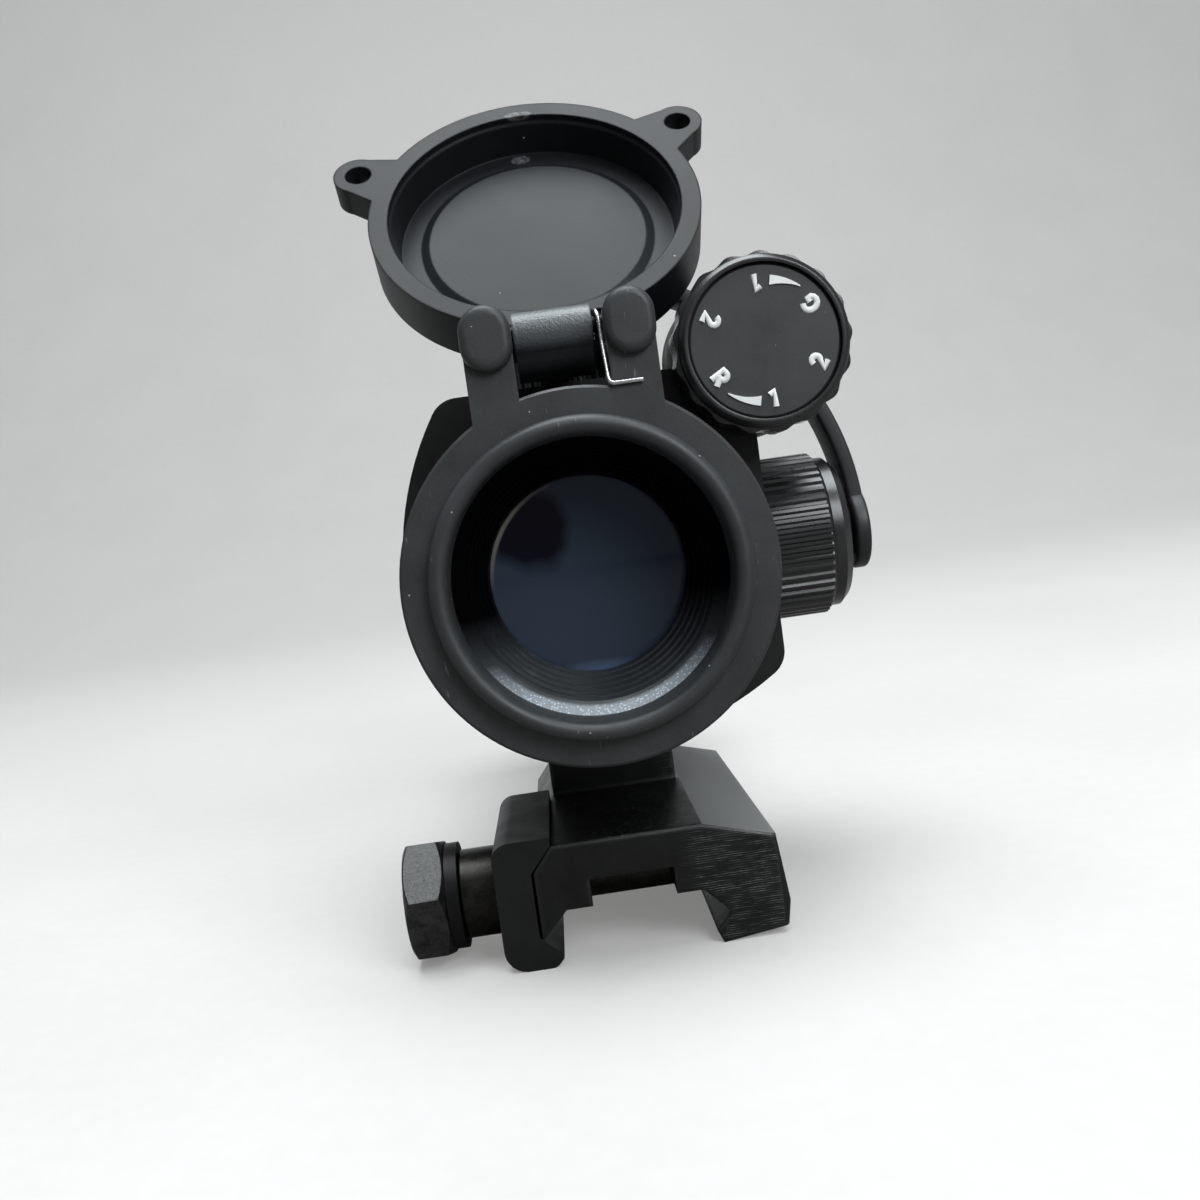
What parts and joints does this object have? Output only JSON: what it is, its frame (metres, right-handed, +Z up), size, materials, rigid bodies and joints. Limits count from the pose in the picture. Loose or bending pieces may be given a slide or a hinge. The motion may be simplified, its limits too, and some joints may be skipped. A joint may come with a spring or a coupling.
{
  "type": "tube red dot sight",
  "caption": "Tube red dot sight with flip-up spring lens covers, capped adjusters on a strap, brightness knob and a clamp-on rail mount.",
  "frame": {"origin": "middle of the rail seat plane, straight below the tube axis", "axes": "+Y along the tube towards the target, +Z up, +X to the user's right"},
  "size_m": [0.064, 0.1274, 0.1045],
  "materials": {
    "black_anodised": "satin black anodised aluminium",
    "cover_rubber": "matte dark grey soft-touch plastic",
    "cover_plastic": "satin black moulded plastic",
    "knob_gloss": "glossy black moulded plastic",
    "dial_satin": "satin black printed dial",
    "strap_rubber": "matte black rubber",
    "seal_rubber": "black rubber",
    "spring_steel": "bright spring steel",
    "worn_steel": "blackened steel worn to grey",
    "black_steel": "blackened steel",
    "coated_glass": "coated glass",
    "brass": "plain brass",
    "board": "printed circuit board",
    "cell_steel": "nickel plated steel"
  },
  "bodies": {
    "sight": {"tube_body": "black_anodised", "rear_lens": "coated_glass", "rear_lens_ring": "black_anodised", "inner_tube": "black_anodised", "front_lens": "coated_glass", "front_lens_ring": "black_anodised", "led_emitter": "brass", "tube_leaf_spring": "spring_steel", "windage_seal": "seal_rubber", "elevation_seal": "seal_rubber", "cap_strap": "strap_rubber", "detent_ball": "spring_steel", "detent_spring": "spring_steel", "switch_board": "board", "battery": "cell_steel", "battery_spring": "spring_steel", "rear_cover_ring": "cover_rubber", "rear_hinge_pin": "spring_steel", "rear_hinge_spring": "spring_steel", "front_cover_ring": "cover_rubber", "front_hinge_pin": "spring_steel", "front_hinge_spring": "spring_steel", "mount_base": "black_anodised", "mount_ring_cap": "black_anodised", "mount_ring_screws": "black_steel", "clamp_bolt": "worn_steel"},
    "windage_cap": {"windage_cap": "black_anodised", "windage_strap_screw": "black_steel"},
    "elevation_cap": {"elevation_cap": "black_anodised", "elevation_strap_screw": "black_steel"},
    "windage_screw": {"windage_screw": "brass"},
    "elevation_screw": {"elevation_screw": "brass"},
    "knob": {"brightness_knob": "knob_gloss", "dial_plate": "dial_satin"},
    "battery_cap": {"battery_cap": "black_anodised", "battery_cap_seal": "seal_rubber"},
    "rear_cover": {"rear_flip_cover": "cover_plastic"},
    "front_cover": {"front_flip_cover": "cover_plastic"},
    "jaw": {"clamp_jaw": "black_anodised", "clamp_collar": "worn_steel", "clamp_washer": "black_steel"},
    "nut": {"clamp_nut": "worn_steel"}
  },
  "joints": [
    {"name": "rear_cover_hinge", "type": "hinge", "parent": "sight", "child": "rear_cover", "pos_m": [0, -0.0252, 0.0636], "axis": [1, 0, 0], "range_deg": [0, 217], "stiffness_Nm_per_rad": 0.0012, "springref_deg": -28.65, "deforming": ["rear_hinge_spring"]},
    {"name": "front_cover_hinge", "type": "hinge", "parent": "sight", "child": "front_cover", "pos_m": [0, 0.0832, 0.0636], "axis": [1, 0, 0], "range_deg": [0, 217], "deforming": ["front_hinge_spring"]},
    {"name": "brightness_turn", "type": "hinge", "parent": "sight", "child": "knob", "pos_m": [0.023, -0.017, 0.06], "axis": [0, 1, 0], "range_deg": [0, 300]},
    {"name": "battery_cap_turn", "type": "hinge", "parent": "sight", "child": "battery_cap", "pos_m": [0.023, -0.002, 0.06], "axis": [0, 1, 0], "continuous": true},
    {"name": "windage_cap_turn", "type": "hinge", "parent": "sight", "child": "windage_cap", "pos_m": [0.028, 0.005, 0.037], "axis": [1, 0, 0], "continuous": true},
    {"name": "elevation_cap_turn", "type": "hinge", "parent": "sight", "child": "elevation_cap", "pos_m": [0, 0.005, 0.065], "axis": [0, 0, 1], "continuous": true},
    {"name": "windage_screw_turn", "type": "hinge", "parent": "sight", "child": "windage_screw", "pos_m": [0.02, 0.005, 0.037], "axis": [1, 0, 0], "continuous": true},
    {"name": "elevation_screw_turn", "type": "hinge", "parent": "sight", "child": "elevation_screw", "pos_m": [0, 0.005, 0.057], "axis": [0, 0, 1], "continuous": true},
    {"name": "jaw_slide", "type": "slide", "parent": "sight", "child": "jaw", "axis": [-1, 0, 0], "range_m": [0, 0.0025]},
    {"name": "nut_turn", "type": "hinge", "parent": "jaw", "child": "nut", "pos_m": [-0.024, -0.013, 0.00083], "axis": [-1, 0, 0], "range_deg": [0, 1125]}
  ],
  "couplings": [
    {"joint": "nut_turn", "follows": "jaw_slide", "rad_per_m": 7854}
  ]
}
